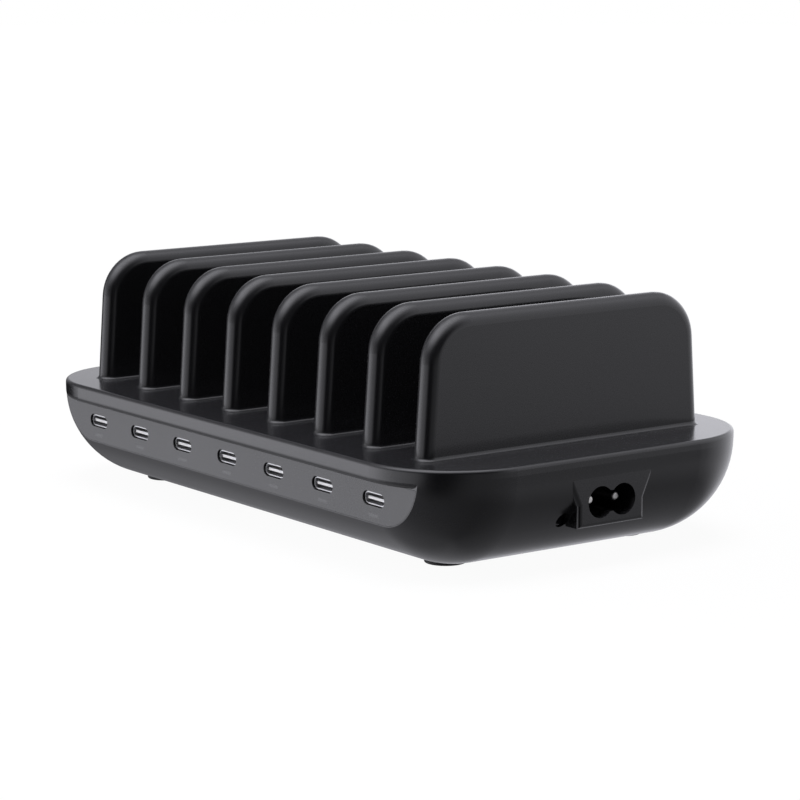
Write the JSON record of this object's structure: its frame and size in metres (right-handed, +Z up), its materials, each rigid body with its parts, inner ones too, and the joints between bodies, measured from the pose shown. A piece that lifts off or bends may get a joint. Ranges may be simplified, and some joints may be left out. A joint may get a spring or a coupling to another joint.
{
  "type": "multi-device usb charging station",
  "caption": "Desktop USB charging station: a bowl-shaped black hull with upright fins for phones and tablets, a row of USB-C ports under the front rim and a mains inlet on one end.",
  "frame": {"origin": "centre of the plan on the table, at the underside of the feet", "axes": "+X along the row of fins towards the mains inlet, -Y the port side, +Z up"},
  "size_m": [0.1956, 0.1126, 0.0657],
  "materials": {
    "body_plastic": "semi-gloss black moulding",
    "panel_plastic": "fine matt black moulding",
    "circuit_board": "solder mask",
    "inlet_plastic": "matt black",
    "contact_metal": "nickel plated",
    "indicator_lens": "dark and clear",
    "screw_steel": "zinc plated",
    "ferrite": "dull dark grey",
    "bobbin_plastic": "matt black",
    "winding_tape": "yellow tape",
    "film_capacitor": "moulded box",
    "copper_wire": "enamelled copper",
    "fuse_ceramic": "white ceramic",
    "chip_plastic": "black epoxy",
    "sink_aluminium": "mill finish",
    "shell_metal": "tin plated",
    "tongue_plastic": "matt light grey",
    "can_aluminium": "bright can",
    "foot_rubber": "matt",
    "capacitor_sleeve": "shrink sleeve"
  },
  "bodies": {
    "root": {"top_cover": "body_plastic", "case_base": "body_plastic", "port_panel": "panel_plastic", "main_board": "circuit_board", "port_board": "circuit_board", "inlet_body": "inlet_plastic", "inlet_pins": "contact_metal", "indicator_lens": "indicator_lens", "case_screws": "screw_steel", "board_screws": "screw_steel", "transformer_core": "ferrite", "transformer_bobbin": "bobbin_plastic", "transformer_winding": "winding_tape", "x_capacitor": "film_capacitor", "choke_core": "ferrite", "choke_windings": "copper_wire", "fuse": "fuse_ceramic", "bridge_rectifier": "chip_plastic", "heat_sink": "sink_aluminium", "power_switch": "chip_plastic", "usb_shell_1": "shell_metal", "usb_tongue_1": "tongue_plastic", "output_inductor_1": "ferrite", "output_capacitor_1": "can_aluminium", "usb_shell_2": "shell_metal", "usb_tongue_2": "tongue_plastic", "output_inductor_2": "ferrite", "output_capacitor_2": "can_aluminium", "usb_shell_3": "shell_metal", "usb_tongue_3": "tongue_plastic", "output_inductor_3": "ferrite", "output_capacitor_3": "can_aluminium", "usb_shell_4": "shell_metal", "usb_tongue_4": "tongue_plastic", "output_inductor_4": "ferrite", "output_capacitor_4": "can_aluminium", "usb_shell_5": "shell_metal", "usb_tongue_5": "tongue_plastic", "output_inductor_5": "ferrite", "output_capacitor_5": "can_aluminium", "usb_shell_6": "shell_metal", "usb_tongue_6": "tongue_plastic", "output_inductor_6": "ferrite", "output_capacitor_6": "can_aluminium", "usb_shell_7": "shell_metal", "usb_tongue_7": "tongue_plastic", "output_inductor_7": "ferrite", "output_capacitor_7": "can_aluminium", "rubber_foot_1": "foot_rubber", "rubber_foot_2": "foot_rubber", "rubber_foot_3": "foot_rubber", "rubber_foot_4": "foot_rubber", "bulk_capacitor_1": "capacitor_sleeve", "bulk_capacitor_2": "capacitor_sleeve"}
  },
  "joints": []
}
